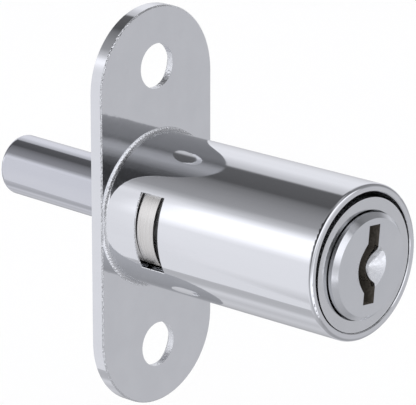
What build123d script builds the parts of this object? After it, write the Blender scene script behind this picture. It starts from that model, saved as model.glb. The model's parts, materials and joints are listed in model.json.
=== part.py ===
"""Push lock for sliding doors: a plunger lock with a wafer plug, a side pawl and a round bolt rod.

Frame: millimetres, +Z up. The origin is the centre of the flange's front face, on the barrel axis.
The key side faces -Y and the bolt rod points to +Y. Axial places are distances in front of that face.
"""

from build123d import *
import math
import os

os.makedirs("parts", exist_ok=True)

# ---- Housing: one die casting, barrel and flange ----
barrel_diameter = 21.8
barrel_length = 38.0
barrel_edge_radius = 0.5
barrel_wall = 1.15
bore_edge_chamfer = 0.12
flange_side_margin = 0.3
flange_height = 58.2
flange_thickness = 2.2
flange_edge_chamfer = 0.2
rear_wall = 1.5
cove_radius = 0.6
hole_spacing = 41.0
hole_diameter = 6.5
countersink_diameter = 8.9

# ---- Side window and the shallow pawl channel that runs forward from it ----
window_rear = 5.92
window_front_gap = 1.12
window_height = 10.75
window_edge_chamfer = 0.12
channel_wall = 0.32

# ---- Plunger: sleeve and bolt rod, sliding together ----
plunger_travel = 10.0
bore_clearance = 0.38
sleeve_rear = 3.0
contact_gap = 0.05
head_gap = 0.2
head_recess_depth = 3.2
running_gap = 0.05
partition_thickness = 3.2
rod_diameter = 8.8
rod_reach = 27.5
rod_edge_radius = 0.8
rod_neck_end = 3.0
rod_neck_relief = 0.2
rod_head_wall = 1.87
rod_head_gap = 0.21
rod_hole_play = 0.7
pin_diameter = 1.2
pin_inset = 0.2

# ---- Key plug ----
plug_lean = 5.0
plug_diameter = 13.0
plug_head_lip = 0.97
plug_head_chamfer = 0.65
plug_projection = 1.35
stub_diameter = 5.8
tang_width = 3.0
keyway_width = 2.2
keyway_wall_above = 0.6
keyway_wall_below = 1.4
keyway_bulge = 1.45
keyway_bend_height = 2.9
keyway_floor = 1.6
dish_diameter = 6.1
dish_depth = 0.7
dish_floor_diameter = 0.6

# ---- Cam driver and its screw ----
driver_radius = 3.5
driver_half_flat = 2.85
screw_diameter = 2.0
screw_length = 4.4
screw_head_diameter = 3.9
screw_head_height = 1.0
screw_slot_width = 0.5
screw_slot_depth = 0.45
screw_head_play = 0.35

# ---- Locking pawl ----
pawl_thickness = 3.0
pawl_rear_gap = 0.12
pawl_side_gap = 0.08
pawl_end_gap = 0.35
pawl_crown_radius = 8.0
pawl_bar = 1.45
pawl_throw = 0.3

# ---- Wafers ----
wafer_count = 7
wafer_pitch = 2.6
wafer_front_wall = 3.3
wafer_thickness = 1.0
wafer_half_width = 3.4
wafer_slot_gap = 0.05
wafer_lift = 0.6
wafer_inset = 0.08
wafer_opening_half_width = 2.75
wafer_opening_half_height = 3.6
wafer_hook_width = 1.2
wafer_hook_bottom = 2.2
wafer_hook_top = 3.6
wafer_groove_depth = 0.9
wafer_groove_half_width = 4.2
key_cuts = (0.2, -0.3, 0.4, 0.1, -0.4, 0.3, -0.1)

# ---- Springs ----
return_wire = 0.9
return_turns = 3
return_rod_gap = 0.35
return_bore_gap = 0.7
return_end_gap = 0.15
small_wire = 0.2
small_end_gap = 0.03
pawl_spring_radius = 0.5
pawl_spring_pocket = 0.72
pawl_spring_height = 2.4
pawl_spring_seat = 0.7
pawl_spring_space = 3.7
pawl_spring_turns = 7
wafer_spring_radius = 0.4
wafer_spring_turns = 8
wafer_spring_foot = 2.4

# ---- Places worked out from the sizes above ----
barrel_radius = barrel_diameter / 2
bore_radius = barrel_radius - barrel_wall
sleeve_radius = bore_radius - bore_clearance
plug_radius = plug_diameter / 2
plug_head_radius = plug_radius + plug_head_lip
head_recess_radius = plug_head_radius + head_gap
rod_head_radius = sleeve_radius - rod_head_wall
flange_width = barrel_diameter + 2 * flange_side_margin
window_width = pawl_rear_gap + pawl_thickness + window_front_gap
bore_floor = rear_wall - flange_thickness
channel_radius = barrel_radius - channel_wall
pawl_rear = window_rear + pawl_rear_gap
pawl_front = pawl_rear + pawl_thickness
pawl_crown = channel_radius - running_gap
pawl_half_height = window_height / 2 - pawl_end_gap
pawl_slot_rear = pawl_rear - pawl_side_gap
pawl_slot_front = pawl_front + pawl_side_gap
pawl_back = driver_radius + running_gap + pawl_bar
pawl_slot_back = pawl_back + pawl_throw
driver_rear = pawl_slot_rear + running_gap
driver_front = pawl_slot_front - running_gap
plug_bore_floor = pawl_slot_front + partition_thickness
head_recess_floor = barrel_length - head_recess_depth
rod_head_front = driver_rear - screw_head_height - rod_head_gap
rod_head_thickness = rod_head_front - sleeve_rear
plug_face = barrel_length + plug_projection
plug_rear = plug_bore_floor + running_gap
stub_rear = pawl_slot_front - running_gap
tang_rear = driver_rear + running_gap
spring_pocket_end = pawl_back - pawl_spring_seat + pawl_spring_space
wafer_first = head_recess_floor - wafer_front_wall
wafer_radius = plug_radius - wafer_inset
wafer_slot_half_width = wafer_half_width + wafer_slot_gap
wafer_slot_thickness = wafer_thickness + 2 * wafer_slot_gap
hook_slot_outer = wafer_half_width + wafer_hook_width + wafer_slot_gap
return_small_radius = rod_diameter / 2 + rod_hole_play + return_rod_gap + return_wire / 2
return_large_radius = bore_radius - return_bore_gap - return_wire / 2

# The plunger lies in its running clearance: its nose rests low in the bore and its tail high.
lie_drop = bore_clearance - contact_gap
lie_middle = (barrel_length + sleeve_rear) / 2
lie_angle = math.atan(2 * lie_drop / (barrel_length - sleeve_rear))
forward = Vector(0, -math.cos(lie_angle), -math.sin(lie_angle))
plunger_plane = Plane(
    origin=Vector(0, -lie_middle, 0) - forward * lie_middle,
    x_dir=(1, 0, 0),
    z_dir=forward,
)
# The plug's keyway leans clockwise, seen from the key side.
lean = math.radians(plug_lean)
plug_plane = Plane(
    origin=plunger_plane.origin,
    x_dir=plunger_plane.x_dir * math.cos(lean) - plunger_plane.y_dir * math.sin(lean),
    z_dir=forward,
)
rear_face = Plane(origin=(0, flange_thickness, 0), x_dir=(-1, 0, 0), z_dir=(0, 1, 0))


def save(piece, name):
    """Label one finished piece and write it as its own STEP file."""
    piece.label = name
    export_step(piece, f"parts/{name}.step")


def coil(plane, place, direction, radius, wire, height, turns):
    """A coil spring of even pitch that starts at a place in a plane's own coordinates."""
    with BuildPart() as spring:
        with BuildLine() as path:
            Helix(
                pitch=height / turns,
                height=height,
                radius=radius,
                center=plane.from_local_coords(place),
                direction=direction,
            )
        with BuildSketch(Plane(origin=path.line @ 0, z_dir=path.line % 0)):
            Circle(wire / 2)
        sweep(path=path.line, is_frenet=True)
    return spring.part


# ---- Housing ----
flat_half_width = flange_width / 2 - flange_edge_chamfer
with BuildPart() as cove:
    with BuildSketch(Plane.XY):
        with BuildLine():
            Line((barrel_radius, 0), (bore_radius, 0))
            Line((bore_radius, 0), (bore_radius, -cove_radius))
            Line((bore_radius, -cove_radius), (barrel_radius, -cove_radius))
            CenterArc((barrel_radius + cove_radius, -cove_radius), cove_radius, 90, 90)
            Line((barrel_radius, 0), (barrel_radius + cove_radius, 0))
        make_face()
    revolve(axis=Axis.Y)
    with BuildSketch(Plane.XZ):
        Rectangle(2 * flat_half_width, flange_height)
    extrude(amount=cove_radius, mode=Mode.INTERSECT)

with BuildPart() as housing:
    with BuildSketch(Plane.XZ.offset(-flange_thickness)):
        SlotOverall(flange_height, flange_width, rotation=90)
    extrude(amount=flange_thickness)
    flange_faces = housing.faces().sort_by(Axis.Y)
    chamfer(flange_faces[0].edges() + flange_faces[-1].edges(), flange_edge_chamfer)
    with BuildSketch(Plane.XZ):
        Circle(barrel_radius)
    extrude(amount=barrel_length)
    fillet(housing.faces().sort_by(Axis.Y)[0].edges(), barrel_edge_radius)
    add(cove.part)
    with BuildSketch(Plane.XZ.offset(barrel_length)):
        Circle(bore_radius)
    extrude(amount=bore_floor - barrel_length, mode=Mode.SUBTRACT)
    chamfer(
        housing.edges().filter_by(GeomType.CIRCLE).group_by(Axis.Y)[0].sort_by(SortBy.RADIUS)[0],
        bore_edge_chamfer,
    )
    with BuildSketch(Plane.XZ):
        Circle(rod_diameter / 2 + rod_hole_play)
    extrude(amount=-flange_thickness, mode=Mode.SUBTRACT)
    # Side window, right through the barrel wall
    with BuildSketch(Plane.XZ.offset(window_rear)):
        with Locations((-barrel_radius, 0)):
            Rectangle(barrel_radius, window_height)
    extrude(amount=window_width, mode=Mode.SUBTRACT)
    window_rim = housing.edges(Select.LAST).filter_by(
        lambda edge: math.isclose(math.hypot(edge.center().X, edge.center().Z), barrel_radius)
    )
    chamfer(window_rim, window_edge_chamfer)
    # Pawl channel: its closed front end stops the plunger
    with BuildSketch(Plane.XZ.offset(window_rear)):
        Circle(channel_radius)
        with Locations((-barrel_radius, 0)):
            Rectangle(barrel_radius, window_height, mode=Mode.INTERSECT)
    extrude(amount=pawl_thickness + plunger_travel + 2 * pawl_rear_gap, mode=Mode.SUBTRACT)
    # Screw holes, countersunk from the rear
    with Locations(rear_face):
        with GridLocations(0, hole_spacing, 1, 2):
            CounterSinkHole(
                radius=hole_diameter / 2,
                counter_sink_radius=countersink_diameter / 2,
                depth=flange_thickness,
                counter_sink_angle=90,
            )
save(housing.part, "housing")

# ---- Plunger sleeve ----
with BuildPart() as plunger_sleeve:
    with BuildSketch(plunger_plane.offset(sleeve_rear)):
        Circle(sleeve_radius)
    extrude(amount=barrel_length - sleeve_rear)
    with BuildSketch(plunger_plane.offset(head_recess_floor)):
        Circle(head_recess_radius)
    extrude(amount=head_recess_depth, mode=Mode.SUBTRACT)
    with BuildSketch(plunger_plane.offset(plug_bore_floor)):
        Circle(plug_radius + running_gap)
    extrude(amount=head_recess_floor - plug_bore_floor, mode=Mode.SUBTRACT)
    # Grooves above and below the plug, where the wafers stand out and lock it
    with BuildSketch(plunger_plane.offset(plug_bore_floor)):
        Circle(plug_radius + wafer_groove_depth)
        Rectangle(2 * wafer_groove_half_width, 4 * plug_radius, mode=Mode.INTERSECT)
    extrude(amount=wafer_first + wafer_pitch - plug_bore_floor, mode=Mode.SUBTRACT)
    with BuildSketch(plunger_plane.offset(pawl_slot_front)):
        Circle(stub_diameter / 2 + running_gap)
    extrude(amount=partition_thickness, mode=Mode.SUBTRACT)
    # Cross slot for the pawl, open on the window side
    with BuildSketch(plunger_plane.offset(pawl_slot_rear)):
        with Locations((pawl_slot_back, 0)):
            Rectangle(
                2 * sleeve_radius,
                2 * (pawl_half_height + pawl_side_gap),
                align=(Align.MAX, Align.CENTER),
            )
    extrude(amount=pawl_slot_front - pawl_slot_rear, mode=Mode.SUBTRACT)
    # Spring pockets behind the pawl
    pocket_plane = Plane(
        origin=plunger_plane.from_local_coords((0, 0, (pawl_rear + pawl_front) / 2)),
        x_dir=plunger_plane.y_dir,
        z_dir=plunger_plane.x_dir,
    )
    with BuildSketch(pocket_plane):
        with GridLocations(2 * pawl_spring_height, 0, 2, 1):
            Circle(pawl_spring_pocket)
    extrude(amount=spring_pocket_end, mode=Mode.SUBTRACT)
    # Room for the rod's head and the cam screw's head
    with BuildSketch(plunger_plane.offset(sleeve_rear)):
        Circle(rod_head_radius)
    extrude(amount=rod_head_thickness, mode=Mode.SUBTRACT)
    with BuildSketch(plunger_plane.offset(rod_head_front)):
        Circle(screw_head_diameter / 2 + screw_head_play)
    extrude(amount=pawl_slot_rear - rod_head_front, mode=Mode.SUBTRACT)
    pin_plane = Plane(
        origin=plunger_plane.from_local_coords((0, 0, sleeve_rear + rod_head_thickness / 2)),
        x_dir=plunger_plane.x_dir,
        z_dir=plunger_plane.y_dir,
    )
    with BuildSketch(pin_plane):
        Circle(pin_diameter / 2)
    extrude(amount=sleeve_radius, both=True, mode=Mode.SUBTRACT)
save(plunger_sleeve.part, "plunger_sleeve")

# ---- Bolt rod: a round bar with a head set in the sleeve's rear ----
with BuildPart() as bolt_rod:
    with BuildSketch(plunger_plane.offset(-rod_reach)):
        Circle(rod_diameter / 2)
    extrude(amount=rod_reach - rod_neck_end)
    fillet(bolt_rod.faces().sort_by(Axis.Y)[-1].edges(), rod_edge_radius)
    with BuildSketch(plunger_plane.offset(-rod_neck_end)):
        Circle(rod_diameter / 2 - rod_neck_relief)
    extrude(amount=rod_neck_end + sleeve_rear)
    with BuildSketch(plunger_plane.offset(sleeve_rear)):
        Circle(rod_head_radius)
    extrude(amount=rod_head_thickness)
    with BuildSketch(pin_plane):
        Circle(pin_diameter / 2)
    extrude(amount=sleeve_radius, both=True, mode=Mode.SUBTRACT)
save(bolt_rod.part, "bolt_rod")

with BuildPart() as rod_pin:
    with BuildSketch(pin_plane):
        Circle(pin_diameter / 2)
    extrude(amount=sleeve_radius - pin_inset, both=True)
save(rod_pin.part, "rod_pin")

# ---- Key plug ----
bend = keyway_bend_height
with BuildPart() as key_plug:
    with BuildSketch(plug_plane.offset(plug_rear)):
        Circle(plug_radius)
    extrude(amount=plug_face - plug_rear)
    with BuildSketch(plug_plane.offset(head_recess_floor + running_gap)):
        Circle(plug_head_radius)
    extrude(amount=plug_face - head_recess_floor - running_gap)
    chamfer(key_plug.faces().sort_by(Axis.Y)[0].edges(), plug_head_chamfer)
    with BuildSketch(plug_plane.offset(stub_rear)):
        Circle(stub_diameter / 2)
    extrude(amount=plug_rear - stub_rear)
    with BuildSketch(plug_plane.offset(tang_rear)):
        Rectangle(tang_width, tang_width)
    extrude(amount=stub_rear - tang_rear)
    with BuildSketch(plug_plane.offset(tang_rear)):
        Circle(screw_diameter / 2)
    extrude(amount=screw_length, mode=Mode.SUBTRACT)
    # Dished centre of the face
    with BuildSketch(plug_plane.offset(plug_face)):
        Circle(dish_diameter / 2)
    extrude(
        amount=-dish_depth,
        taper=math.degrees(math.atan((dish_diameter - dish_floor_diameter) / 2 / dish_depth)),
        mode=Mode.SUBTRACT,
    )
    # Keyway: straight above and below, with a bulge round the dish to the left
    with BuildSketch(plug_plane.offset(plug_rear + keyway_floor)):
        with BuildLine():
            Line((0, plug_radius - keyway_wall_above), (0, bend))
            ThreePointArc((0, bend), (-keyway_bulge, 0), (0, -bend))
            Line((0, -bend), (0, keyway_wall_below - plug_radius))
        trace(line_width=keyway_width)
    extrude(amount=plug_face - plug_rear - keyway_floor, mode=Mode.SUBTRACT)
    # Wafer slots, with a side channel for each wafer's hook and spring
    for index in range(wafer_count):
        side = 1 if index % 2 == 0 else -1
        slot_rear = wafer_first - index * wafer_pitch - wafer_slot_thickness / 2
        with BuildSketch(plug_plane.offset(slot_rear)):
            Rectangle(2 * wafer_slot_half_width, 3 * plug_radius)
            with Locations((side * hook_slot_outer, -side * wafer_spring_foot)):
                Rectangle(
                    hook_slot_outer,
                    2 * plug_radius,
                    align=(Align.MAX, Align.MIN) if side > 0 else (Align.MIN, Align.MAX),
                )
        extrude(amount=wafer_slot_thickness, mode=Mode.SUBTRACT)
save(key_plug.part, "key_plug")

# ---- Cam driver: turns with the plug inside the pawl's opening ----
with BuildPart() as cam_driver:
    with BuildSketch(plug_plane.offset(driver_rear)):
        Circle(driver_radius)
        Rectangle(2 * driver_half_flat, 2 * driver_radius, mode=Mode.INTERSECT)
        Rectangle(tang_width, tang_width, mode=Mode.SUBTRACT)
    extrude(amount=driver_front - driver_rear)
save(cam_driver.part, "cam_driver")

with BuildPart() as cam_screw:
    with BuildSketch(plug_plane.offset(driver_rear - screw_head_height)):
        Circle(screw_head_diameter / 2)
    extrude(amount=screw_head_height)
    with BuildSketch(plug_plane.offset(driver_rear)):
        Circle(screw_diameter / 2)
    extrude(amount=screw_length)
    with BuildSketch(plug_plane.offset(driver_rear - screw_head_height)):
        Rectangle(screw_head_diameter, screw_slot_width)
    extrude(amount=screw_slot_depth, mode=Mode.SUBTRACT)
save(cam_screw.part, "cam_screw")

# ---- Locking pawl: a plate round the driver, with a crowned nose in the side window ----
crown_centre = pawl_crown_radius - pawl_crown
pawl_window_half = driver_radius + running_gap
with BuildPart() as locking_pawl:
    with BuildSketch(plunger_plane.offset(pawl_rear)):
        with Locations((crown_centre, 0)):
            Circle(pawl_crown_radius)
        with Locations((pawl_back, 0)):
            Rectangle(
                pawl_back + pawl_crown,
                2 * pawl_half_height,
                align=(Align.MAX, Align.CENTER),
                mode=Mode.INTERSECT,
            )
        with Locations((crown_centre, 0)):
            Rectangle(
                pawl_back - crown_centre,
                2 * pawl_half_height,
                align=(Align.MIN, Align.CENTER),
            )
        Rectangle(2 * pawl_window_half, 2 * pawl_window_half, mode=Mode.SUBTRACT)
    extrude(amount=pawl_thickness)
    with BuildSketch(pocket_plane.offset(pawl_back - pawl_spring_seat)):
        with GridLocations(2 * pawl_spring_height, 0, 2, 1):
            Circle(pawl_spring_pocket)
    extrude(amount=pawl_spring_seat, mode=Mode.SUBTRACT)
save(locking_pawl.part, "locking_pawl")

# ---- Springs ----
return_height = sleeve_rear - bore_floor - return_wire - 2 * return_end_gap
return_cone = math.degrees(math.atan((return_large_radius - return_small_radius) / return_height))
with BuildPart() as return_spring:
    with BuildLine() as return_path:
        Helix(
            pitch=return_height / return_turns,
            height=return_height,
            radius=return_small_radius,
            center=(0, return_wire / 2 + return_end_gap - sleeve_rear, 0),
            direction=(0, 1, 0),
            cone_angle=return_cone,
        )
    with BuildSketch(Plane(origin=return_path.line @ 0, z_dir=return_path.line % 0)):
        Circle(return_wire / 2)
    sweep(path=return_path.line, is_frenet=True)
save(return_spring.part, "return_spring")

pawl_coil_length = pawl_spring_space - small_wire - 2 * small_end_gap
for name, height in (("pawl_spring_upper", pawl_spring_height), ("pawl_spring_lower", -pawl_spring_height)):
    start = (
        spring_pocket_end - pawl_spring_space + small_wire / 2 + small_end_gap,
        height,
        (pawl_rear + pawl_front) / 2,
    )
    pawl_spring = coil(
        plunger_plane, start, plunger_plane.x_dir, pawl_spring_radius, small_wire,
        pawl_coil_length, pawl_spring_turns,
    )
    save(pawl_spring, name)

# ---- Wafers and their springs: odd ones spring up, even ones down ----
wafer_coil_length = wafer_hook_bottom + wafer_spring_foot - small_wire - 2 * small_end_gap
for index in range(wafer_count):
    number = index + 1
    side = 1 if index % 2 == 0 else -1
    middle = wafer_first - index * wafer_pitch
    hook_middle = side * (wafer_half_width + wafer_hook_width / 2)
    with BuildPart() as wafer:
        with BuildSketch(plug_plane.offset(middle - wafer_thickness / 2)):
            Circle(wafer_radius)
            Rectangle(2 * wafer_half_width, 2 * wafer_radius, mode=Mode.INTERSECT)
            with Locations((hook_middle, side * (wafer_hook_bottom + wafer_hook_top) / 2)):
                Rectangle(wafer_hook_width, wafer_hook_top - wafer_hook_bottom)
            with Locations((0, key_cuts[index])):
                Rectangle(
                    2 * wafer_opening_half_width,
                    2 * wafer_opening_half_height,
                    mode=Mode.SUBTRACT,
                )
        extrude(amount=wafer_thickness)
    save(wafer.part, f"wafer_{number}")
    foot = (
        hook_middle,
        side * (small_wire / 2 + small_end_gap - wafer_spring_foot),
        middle,
    )
    wafer_spring = coil(
        plug_plane, foot, plug_plane.y_dir * side, wafer_spring_radius, small_wire,
        wafer_coil_length, wafer_spring_turns,
    )
    save(wafer_spring, f"wafer_spring_{number}")
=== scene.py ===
"""Looks for the push lock: studio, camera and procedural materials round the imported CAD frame.

Metres, +Z up, with the key side towards -Y.
"""

import json
import math

import bpy
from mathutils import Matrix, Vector


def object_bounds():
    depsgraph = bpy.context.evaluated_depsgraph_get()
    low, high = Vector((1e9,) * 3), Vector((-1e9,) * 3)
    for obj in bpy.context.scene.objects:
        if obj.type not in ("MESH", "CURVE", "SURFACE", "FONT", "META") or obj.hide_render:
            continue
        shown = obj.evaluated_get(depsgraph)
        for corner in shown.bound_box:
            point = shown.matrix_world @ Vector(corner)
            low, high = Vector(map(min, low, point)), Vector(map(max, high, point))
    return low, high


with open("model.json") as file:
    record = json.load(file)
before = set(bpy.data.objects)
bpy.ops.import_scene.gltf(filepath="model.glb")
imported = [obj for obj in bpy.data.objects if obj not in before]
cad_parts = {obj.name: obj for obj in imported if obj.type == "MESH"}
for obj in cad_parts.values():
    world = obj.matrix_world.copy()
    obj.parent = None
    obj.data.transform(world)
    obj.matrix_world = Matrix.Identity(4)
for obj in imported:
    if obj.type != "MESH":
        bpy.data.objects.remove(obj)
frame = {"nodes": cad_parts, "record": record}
cad_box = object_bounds()

MM = 0.001

# ---- Camera: three-quarter view from the key side, a long lens ----
VIEW_AZIMUTH = math.radians(-47.4)
VIEW_ELEVATION = math.radians(17.0)
VIEW_DISTANCE = 0.481
VIEW_AIM = Vector((0.00494, -0.00513, 0.00055))
LENS_MM = 295.0
NEAREST_SEEN = 0.01

# ---- Floor ----
FLOOR_DROP = 30 * MM
FLOOR_SIZE = 3.0
FLOOR_DARK = (0.93, 0.93, 0.935)
FLOOR_LIGHT = (0.96, 0.96, 0.96)
FLOOR_MOTTLE = 0.002
FLOOR_ROUGHNESS = 0.9

# ---- Studio: brightness of the cards round the barrel axis, towards the rear and towards the key side. ----
# Angles run from +X through +Z, in degrees; each card fades into the next.
REAR_CARDS = (
    (0, 0.70),
    (22, 0.88),
    (40, 0.88),
    (56, 0.62),
    (61, 0.58),
    (65, 0.12),
    (92, 0.095),
    (98, 0.18),
    (112, 0.27),
    (128, 0.34),
    (138, 0.62),
    (149, 1.25),
    (168, 1.25),
    (180, 0.86),
    (222, 0.84),
    (236, 0.64),
    (256, 0.50),
    (264, 0.52),
    (272, 0.72),
    (284, 0.58),
    (296, 0.64),
    (312, 0.52),
    (322, 0.42),
    (345, 0.58),
    (360, 0.68),
)
FRONT_CARDS = (
    (0, 0.30),
    (30, 0.25),
    (54, 0.22),
    (66, 0.16),
    (76, 0.38),
    (84, 0.42),
    (92, 0.30),
    (104, 0.12),
    (116, 0.045),
    (142, 0.035),
    (158, 0.14),
    (180, 0.27),
    (215, 0.52),
    (250, 0.50),
    (282, 0.40),
    (306, 0.35),
    (320, 0.42),
    (332, 0.55),
    (344, 0.55),
    (354, 0.38),
    (360, 0.30),
)
# Straight in front of the plug, by height from straight down to straight up.
KEY_SIDE_CARDS = (
    (-1.0, 0.85),
    (-0.45, 1.25),
    (-0.31, 1.15),
    (-0.22, 0.80),
    (-0.02, 0.62),
    (0.12, 0.90),
    (0.30, 1.20),
    (1.0, 1.00),
)
# Where one set of cards fades into the next: how far a direction points to the rear (Y, from -1 to 1).
KEY_SIDE_EDGE = (-0.74, -0.68)
REAR_EDGE = (-0.15, 0.25)
BACKDROP_STRENGTH = 1.08
STUDIO_TINT = (0.975, 0.98, 1.03, 1)

# A grey card stands to the left and rear, outside the picture, with soft front and top edges. Millimetres.
SIDE_CARD_X = -60.0
SIDE_CARD_Y = (26.0, 130.0)
SIDE_CARD_Z = (-150.0, 62.0)
SIDE_CARD_FADE = (30.0, 47.0)
SIDE_CARD_TOP_FADE = (62.0, 34.0)
SIDE_CARD_BRIGHTNESS = 0.80

# ---- Places on the part that the materials need, in millimetres ----
BARREL_RADIUS = 10.9
BARREL_LENGTH = 38.0
COVE_RADIUS = 0.6
HOLE_HEIGHT = 20.5
COUNTERSINK_RADIUS = 4.45
FLANGE_THICKNESS = 2.2
FLANGE_CHAMFER = 0.2
BORE_RADIUS = 9.75
WINDOW_FROM_FLANGE = (5.79, 10.29)
WINDOW_HALF_HEIGHT = 5.51
WINDOW_CHAMFER = 0.13
SLEEVE_REAR = 3.0
PLUNGER_DROP = 0.33
PLUNGER_MIDDLE = (BARREL_LENGTH + SLEEVE_REAR) / 2
PLUNGER_LIE = math.atan(2 * PLUNGER_DROP / (BARREL_LENGTH - SLEEVE_REAR))
PLUG_FACE = 39.35
DISH_RADIUS = 3.06
DISH_DEPTH = 0.72
KEYWAY_REACH = 6.4
KEYWAY_LIP = 0.03
# A mesh's flats lie this far inside a true cylinder, and a mask keeps this far off a flat face.
FACET_DEPTH = 0.02
SKIN = 0.006

# ---- Finishes: grain and streaks in cycles per millimetre along X, Y and Z ----
PLATING_STREAKS = (0.25, 0.02, 0.25)
SMUT_GRAIN = (2.5, 2.5, 2.5)
SMUT_DARK = (0.045, 0.04, 0.035)
SMUT_LIGHT = (0.26, 0.235, 0.205)
SMUT_DULLING = 0.7


def node(tree, kind, **settings):
    """Adds a shader node and sets its own properties."""
    made = tree.nodes.new(kind)
    for key, value in settings.items():
        setattr(made, key, value)
    return made


def join(tree, source, target):
    """Links one socket to another."""
    tree.links.new(source, target)


def feed(tree, value, socket):
    """Gives a socket a plain value, or links it to another socket."""
    if isinstance(value, bpy.types.NodeSocket):
        join(tree, value, socket)
    else:
        socket.default_value = value


def maths(tree, operation, first, second=None):
    """One maths node on sockets or plain numbers."""
    made = node(tree, "ShaderNodeMath", operation=operation)
    feed(tree, first, made.inputs[0])
    if second is not None:
        feed(tree, second, made.inputs[1])
    return made.outputs[0]


def vector_maths(tree, operation, first, second=None):
    """One vector maths node on sockets or plain triples."""
    made = node(tree, "ShaderNodeVectorMath", operation=operation)
    feed(tree, first, made.inputs[0])
    if second is not None:
        feed(tree, second, made.inputs[1])
    return made


def split_axes(tree, vector):
    """The X, Y and Z of a vector."""
    made = node(tree, "ShaderNodeSeparateXYZ")
    join(tree, vector, made.inputs[0])
    return made.outputs["X"], made.outputs["Y"], made.outputs["Z"]


def ramp(tree, value, stops):
    """A grey ramp whose stops are (place from 0 to 1, brightness)."""
    made = node(tree, "ShaderNodeValToRGB")
    elements = made.color_ramp.elements
    while len(elements) < len(stops):
        elements.new(0.5)
    for element, (place, grey) in zip(elements, stops):
        element.position = place
        element.color = (grey, grey, grey, 1)
    join(tree, value, made.inputs[0])
    return made.outputs[0]


def soft_edge(tree, value, fade):
    """Rises smoothly from 0 to 1 between the two values of fade."""
    made = node(tree, "ShaderNodeMapRange", interpolation_type="SMOOTHSTEP")
    made.inputs["From Min"].default_value = fade[0]
    made.inputs["From Max"].default_value = fade[1]
    join(tree, value, made.inputs["Value"])
    return made.outputs["Result"]


def spread(tree, value, low, high, start=0.3, end=0.7):
    """Maps a noise value onto a range of plain numbers."""
    made = node(tree, "ShaderNodeMapRange")
    made.inputs["From Min"].default_value = start
    made.inputs["From Max"].default_value = end
    made.inputs["To Min"].default_value = low
    made.inputs["To Max"].default_value = high
    join(tree, value, made.inputs["Value"])
    return made.outputs["Result"]


def blend(tree, factor, first, second):
    """One number that changes from the first to the second as the factor goes from 0 to 1."""
    made = node(tree, "ShaderNodeMix", data_type="FLOAT")
    join(tree, factor, made.inputs["Factor"])
    join(tree, first, made.inputs["A"])
    join(tree, second, made.inputs["B"])
    return made.outputs["Result"]


def blend_colours(tree, factor, first, second, how="MIX"):
    """A colour that changes from the first to the second as the factor goes from 0 to 1."""
    made = node(tree, "ShaderNodeMix", data_type="RGBA", blend_type=how)
    feed(tree, factor, made.inputs["Factor"])
    feed(tree, first, made.inputs["A"])
    feed(tree, second, made.inputs["B"])
    return made.outputs["Result"]


def noise(tree, place, per_mm, detail=3.0):
    """Noise whose scale is given in cycles per millimetre along X, Y and Z."""
    stretch = node(tree, "ShaderNodeMapping")
    stretch.inputs["Scale"].default_value = [cycles / MM for cycles in per_mm]
    join(tree, place, stretch.inputs["Vector"])
    made = node(tree, "ShaderNodeTexNoise")
    made.inputs["Scale"].default_value = 1.0
    made.inputs["Detail"].default_value = detail
    join(tree, stretch.outputs[0], made.inputs["Vector"])
    return made.outputs["Fac"]


def build_studio():
    """World light: grey and white cards for reflections, plain white behind the object."""
    world = bpy.data.worlds.new("studio")
    bpy.context.scene.world = world
    world.use_nodes = True
    tree = world.node_tree
    tree.nodes.clear()
    x, y, z = split_axes(tree, node(tree, "ShaderNodeTexCoord").outputs["Generated"])
    turns = maths(tree, "DIVIDE", maths(tree, "ARCTAN2", z, x), 2 * math.pi)
    around = maths(tree, "FRACT", maths(tree, "ADD", turns, 1.0))
    height = maths(tree, "ADD", maths(tree, "MULTIPLY", z, 0.5), 0.5)
    rear = ramp(tree, around, [(angle / 360, grey) for angle, grey in REAR_CARDS])
    front = ramp(tree, around, [(angle / 360, grey) for angle, grey in FRONT_CARDS])
    key_side = ramp(tree, height, [((level + 1) / 2, grey) for level, grey in KEY_SIDE_CARDS])
    cards = blend_colours(tree, soft_edge(tree, y, KEY_SIDE_EDGE), key_side, front)
    cards = blend_colours(tree, soft_edge(tree, y, REAR_EDGE), cards, rear)
    reflections = node(tree, "ShaderNodeBackground")
    join(tree, blend_colours(tree, 1.0, cards, STUDIO_TINT, how="MULTIPLY"), reflections.inputs["Color"])
    plain = node(tree, "ShaderNodeBackground")
    plain.inputs["Color"].default_value = (1, 1, 1, 1)
    plain.inputs["Strength"].default_value = BACKDROP_STRENGTH
    choose = node(tree, "ShaderNodeMixShader")
    join(tree, node(tree, "ShaderNodeLightPath").outputs["Is Glossy Ray"], choose.inputs["Fac"])
    join(tree, plain.outputs[0], choose.inputs[1])
    join(tree, reflections.outputs[0], choose.inputs[2])
    output = node(tree, "ShaderNodeOutputWorld")
    join(tree, choose.outputs[0], output.inputs["Surface"])


def build_camera():
    """The camera stands at the photograph's angle."""
    back = Vector((
        math.sin(VIEW_AZIMUTH) * math.cos(VIEW_ELEVATION),
        -math.cos(VIEW_AZIMUTH) * math.cos(VIEW_ELEVATION),
        math.sin(VIEW_ELEVATION),
    ))
    data = bpy.data.cameras.new("camera")
    data.lens = LENS_MM
    data.clip_start = NEAREST_SEEN
    camera = bpy.data.objects.new("camera", data)
    camera.location = VIEW_AIM + back * VIEW_DISTANCE
    camera.rotation_euler = back.to_track_quat("Z", "Y").to_euler()
    bpy.context.collection.objects.link(camera)
    bpy.context.scene.camera = camera


def material(name):
    """A new principled material: its tree, its shader and coordinates in the part's own metres."""
    made = bpy.data.materials.new(name)
    made.use_nodes = True
    tree = made.node_tree
    shader = tree.nodes["Principled BSDF"]
    place = node(tree, "ShaderNodeTexCoord").outputs["Object"]
    return made, tree, shader, place


def tone(tree, shader, value, dark, light):
    """Base colour that drifts between two shades."""
    colour = blend_colours(tree, spread(tree, value, 0, 1), (*dark, 1), (*light, 1))
    join(tree, colour, shader.inputs["Base Color"])


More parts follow.
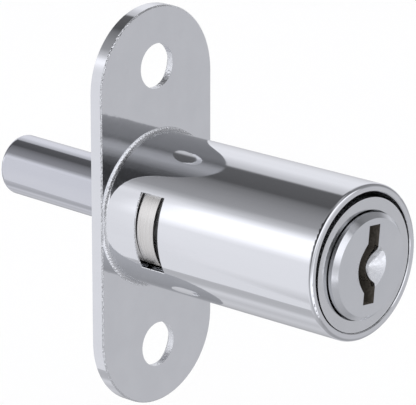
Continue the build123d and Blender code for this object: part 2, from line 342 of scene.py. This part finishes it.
def bump(tree, shader, value, depth_mm):
    """Fine relief of a stated depth."""
    made = node(tree, "ShaderNodeBump")
    made.inputs["Strength"].default_value = 1.0
    made.inputs["Distance"].default_value = depth_mm * MM
    join(tree, value, made.inputs["Height"])
    join(tree, made.outputs[0], shader.inputs["Normal"])


def plated(name, dark, light, rough, polish, polish_depth, wave_depth=0.0, worn=None):
    """Bright plating: soft streaks along the barrel and fine polishing lines.

    The mask in worn says where the surface is rough, and worn's grain, rough and depth say how rough.
    """
    made, tree, shader, place = material(name)
    shader.inputs["Metallic"].default_value = 1.0
    streaks = noise(tree, place, PLATING_STREAKS)
    lines = noise(tree, place, polish, detail=4.0)
    tone(tree, shader, streaks, dark, light)
    roughness = spread(tree, lines, *rough)
    relief = maths(tree, "ADD", lines, maths(tree, "MULTIPLY", streaks, wave_depth / polish_depth))
    if worn:
        mask = worn["mask"](tree, place)
        grain = noise(tree, place, worn["grain"], detail=2.0)
        roughness = blend(tree, mask, roughness, spread(tree, grain, *worn["rough"]))
        pits = maths(tree, "MULTIPLY", maths(tree, "MULTIPLY", grain, mask), worn["depth"] / polish_depth)
        relief = maths(tree, "ADD", relief, pits)
    join(tree, roughness, shader.inputs["Roughness"])
    bump(tree, shader, relief, polish_depth)
    return made


def brushed(name, dark, light, rough, grain, depth):
    """Bare metal with a visible grain in one direction."""
    made, tree, shader, place = material(name)
    shader.inputs["Metallic"].default_value = 1.0
    lines = noise(tree, place, grain, detail=6.0)
    tone(tree, shader, lines, dark, light)
    join(tree, spread(tree, lines, *rough), shader.inputs["Roughness"])
    bump(tree, shader, lines, depth)
    return made


def more_than(tree, value, limit_mm):
    """1 where a length is more than a limit, 0 elsewhere."""
    return maths(tree, "GREATER_THAN", value, limit_mm * MM)


def less_than(tree, value, limit_mm):
    """1 where a length is less than a limit, 0 elsewhere."""
    return maths(tree, "LESS_THAN", value, limit_mm * MM)


def both(tree, first, second):
    """The places that are in both masks."""
    return maths(tree, "MULTIPLY", first, second)


def any_of(tree, first, *others):
    """The places that are in at least one of the masks."""
    for other in others:
        first = maths(tree, "MAXIMUM", first, other)
    return first


def between(tree, value, low_mm, high_mm):
    """1 where a length lies between two limits, 0 elsewhere."""
    return both(tree, more_than(tree, value, low_mm), less_than(tree, value, high_mm))


def across(tree, side, rise):
    """Distance from a line along the barrel, from the distances to its side and above it."""
    side_squared = maths(tree, "MULTIPLY", side, side)
    rise_squared = maths(tree, "MULTIPLY", rise, rise)
    return maths(tree, "SQRT", maths(tree, "ADD", rise_squared, side_squared))


def cast_places(tree, place):
    """As-cast places on the housing: cove, screw holes, bore, the flange's front edge, the window's edge."""
    side, behind, up = split_axes(tree, place)
    ahead = maths(tree, "MULTIPLY", behind, -1.0)
    height = maths(tree, "ABSOLUTE", up)
    radius = across(tree, side, height)
    from_screw = across(tree, side, maths(tree, "SUBTRACT", height, HOLE_HEIGHT * MM))
    cove = both(
        tree,
        between(tree, ahead, SKIN, COVE_RADIUS + SKIN),
        more_than(tree, radius, BARREL_RADIUS + SKIN),
    )
    screw_holes = both(
        tree,
        between(tree, behind, SKIN, FLANGE_THICKNESS - SKIN),
        less_than(tree, from_screw, COUNTERSINK_RADIUS),
    )
    flange_edge = between(tree, behind, SKIN, FLANGE_CHAMFER)
    window_area = both(
        tree,
        between(tree, ahead, *WINDOW_FROM_FLANGE),
        less_than(tree, height, WINDOW_HALF_HEIGHT),
    )
    window_edge = both(
        tree,
        window_area,
        between(tree, radius, BARREL_RADIUS - WINDOW_CHAMFER, BARREL_RADIUS - FACET_DEPTH),
    )
    bore = both(
        tree,
        more_than(tree, ahead, 0.0),
        between(tree, radius, BORE_RADIUS - FACET_DEPTH, BORE_RADIUS + FACET_DEPTH),
    )
    return any_of(tree, cove, screw_holes, flange_edge, window_edge, bore)


def plug_places(tree, place):
    """Depth below the plug's face, and distance from the plug's axis."""
    forward = (0, -math.cos(PLUNGER_LIE), -math.sin(PLUNGER_LIE))
    from_middle = vector_maths(tree, "ADD", place, (0, PLUNGER_MIDDLE * MM, 0)).outputs["Vector"]
    along = vector_maths(tree, "DOT_PRODUCT", from_middle, forward).outputs["Value"]
    depth = maths(tree, "SUBTRACT", (PLUG_FACE - PLUNGER_MIDDLE) * MM, along)
    turned = vector_maths(tree, "CROSS_PRODUCT", from_middle, forward).outputs["Vector"]
    return depth, vector_maths(tree, "LENGTH", turned).outputs["Value"]


def dish_place(tree, place):
    """The dish in the middle of the plug's face."""
    depth, radius = plug_places(tree, place)
    return both(tree, between(tree, depth, SKIN, DISH_DEPTH), less_than(tree, radius, DISH_RADIUS))


def keyway_place(tree, place):
    """The walls of the keyway and all that is deeper inside the plug."""
    depth, radius = plug_places(tree, place)
    inside = both(tree, more_than(tree, depth, KEYWAY_LIP), less_than(tree, radius, KEYWAY_REACH))
    return both(tree, inside, maths(tree, "SUBTRACT", 1.0, dish_place(tree, place)))


def darken_keyway(made):
    """The keyway is dull and dark inside, as plating hardly reaches it."""
    tree = made.node_tree
    shader = tree.nodes["Principled BSDF"]
    place = node(tree, "ShaderNodeTexCoord").outputs["Object"]
    mask = keyway_place(tree, place)
    plate = shader.inputs["Base Color"].links[0].from_socket
    smut = blend_colours(tree, noise(tree, place, SMUT_GRAIN), (*SMUT_DARK, 1), (*SMUT_LIGHT, 1))
    join(tree, blend_colours(tree, mask, plate, smut), shader.inputs["Base Color"])
    dulling = maths(tree, "MULTIPLY", mask, SMUT_DULLING)
    join(tree, maths(tree, "SUBTRACT", 1.0, dulling), shader.inputs["Metallic"])


def build_materials():
    """One material for each of the record's slots."""
    return {
        "housing_chrome": plated(
            "housing_chrome", (0.84, 0.85, 0.872), (0.875, 0.885, 0.905),
            rough=(0.035, 0.075), polish=(2.0, 0.04, 2.0), polish_depth=0.0022, wave_depth=0.02,
            worn={"mask": cast_places, "grain": (3.2, 3.2, 3.2), "rough": (0.12, 0.45), "depth": 0.10},
        ),
        "rod_chrome": plated(
            "rod_chrome", (0.70, 0.71, 0.76), (0.75, 0.76, 0.80),
            rough=(0.05, 0.10), polish=(3.0, 0.08, 3.0), polish_depth=0.0015,
        ),
        "sleeve_chrome": plated(
            "sleeve_chrome", (0.80, 0.81, 0.825), (0.84, 0.85, 0.865),
            rough=(0.12, 0.20), polish=(2.5, 2.5, 2.5), polish_depth=0.002,
        ),
        "plug_chrome": plated(
            "plug_chrome", (0.80, 0.815, 0.84), (0.84, 0.85, 0.87),
            rough=(0.10, 0.17), polish=(1.8, 1.8, 1.8), polish_depth=0.002,
            worn={"mask": dish_place, "grain": (1.6, 1.6, 1.6), "rough": (0.15, 0.35), "depth": 0.03},
        ),
        "pawl_nickel": brushed(
            "pawl_nickel", (0.70, 0.68, 0.65), (0.86, 0.845, 0.82),
            rough=(0.22, 0.38), grain=(0.15, 9.0, 0.15), depth=0.004,
        ),
        "steel": brushed(
            "steel", (0.42, 0.42, 0.43), (0.58, 0.58, 0.59),
            rough=(0.25, 0.40), grain=(6.0, 0.5, 6.0), depth=0.003,
        ),
        "spring_steel": brushed(
            "spring_steel", (0.40, 0.40, 0.42), (0.56, 0.56, 0.58),
            rough=(0.22, 0.36), grain=(3.0, 3.0, 3.0), depth=0.002,
        ),
        "wafer_brass": brushed(
            "wafer_brass", (0.62, 0.44, 0.20), (0.80, 0.62, 0.32),
            rough=(0.22, 0.36), grain=(0.4, 3.0, 6.0), depth=0.003,
        ),
    }


def dress_nodes(materials):
    """Every CAD node is shown with the material of its slot."""
    for part in frame["record"]["subparts"]:
        mesh = frame["nodes"][part["node"]].data
        mesh.materials.clear()
        mesh.materials.append(materials[part["material_slot"]])


def stage_card(name, corners, made):
    """A flat stage piece with four corners and one material."""
    mesh = bpy.data.meshes.new(name)
    mesh.from_pydata(corners, [], [(0, 1, 2, 3)])
    mesh.materials.append(made)
    card = bpy.data.objects.new(name, mesh)
    bpy.context.collection.objects.link(card)
    return card


def build_floor():
    """A plain pale floor, which reflections don't see."""
    made, tree, shader, place = material("floor")
    mottle = noise(tree, place, (FLOOR_MOTTLE, FLOOR_MOTTLE, FLOOR_MOTTLE))
    tone(tree, shader, mottle, FLOOR_DARK, FLOOR_LIGHT)
    shader.inputs["Roughness"].default_value = FLOOR_ROUGHNESS
    half = FLOOR_SIZE / 2
    level = cad_box[0][2] - FLOOR_DROP
    corners = [(-half, -half, level), (half, -half, level), (half, half, level), (-half, half, level)]
    floor = stage_card("floor", corners, made)
    floor.visible_glossy = False


def side_card_material():
    """A grey glow that fades out at the card's front and top edges."""
    made = bpy.data.materials.new("side_card")
    made.use_nodes = True
    tree = made.node_tree
    tree.nodes.clear()
    _, y, z = split_axes(tree, node(tree, "ShaderNodeTexCoord").outputs["Object"])
    front = soft_edge(tree, y, [edge * MM for edge in SIDE_CARD_FADE])
    top = soft_edge(tree, z, [edge * MM for edge in SIDE_CARD_TOP_FADE])
    glow = node(tree, "ShaderNodeEmission")
    glow.inputs["Color"].default_value = STUDIO_TINT
    glow.inputs["Strength"].default_value = SIDE_CARD_BRIGHTNESS
    choose = node(tree, "ShaderNodeMixShader")
    join(tree, both(tree, front, top), choose.inputs["Fac"])
    join(tree, node(tree, "ShaderNodeBsdfTransparent").outputs[0], choose.inputs[1])
    join(tree, glow.outputs[0], choose.inputs[2])
    output = node(tree, "ShaderNodeOutputMaterial")
    join(tree, choose.outputs[0], output.inputs["Surface"])
    return made


def build_side_card():
    """The grey card to the left, which only reflections see."""
    (near, far), (low, high) = SIDE_CARD_Y, SIDE_CARD_Z
    outline = [(near, low), (far, low), (far, high), (near, high)]
    corners = [(SIDE_CARD_X * MM, y * MM, z * MM) for y, z in outline]
    card = stage_card("side_card", corners, side_card_material())
    card.visible_camera = False
    card.visible_diffuse = False
    card.visible_shadow = False


bpy.context.scene.view_settings.view_transform = "Standard"
build_studio()
build_camera()
materials = build_materials()
darken_keyway(materials["plug_chrome"])
dress_nodes(materials)
build_floor()
build_side_card()
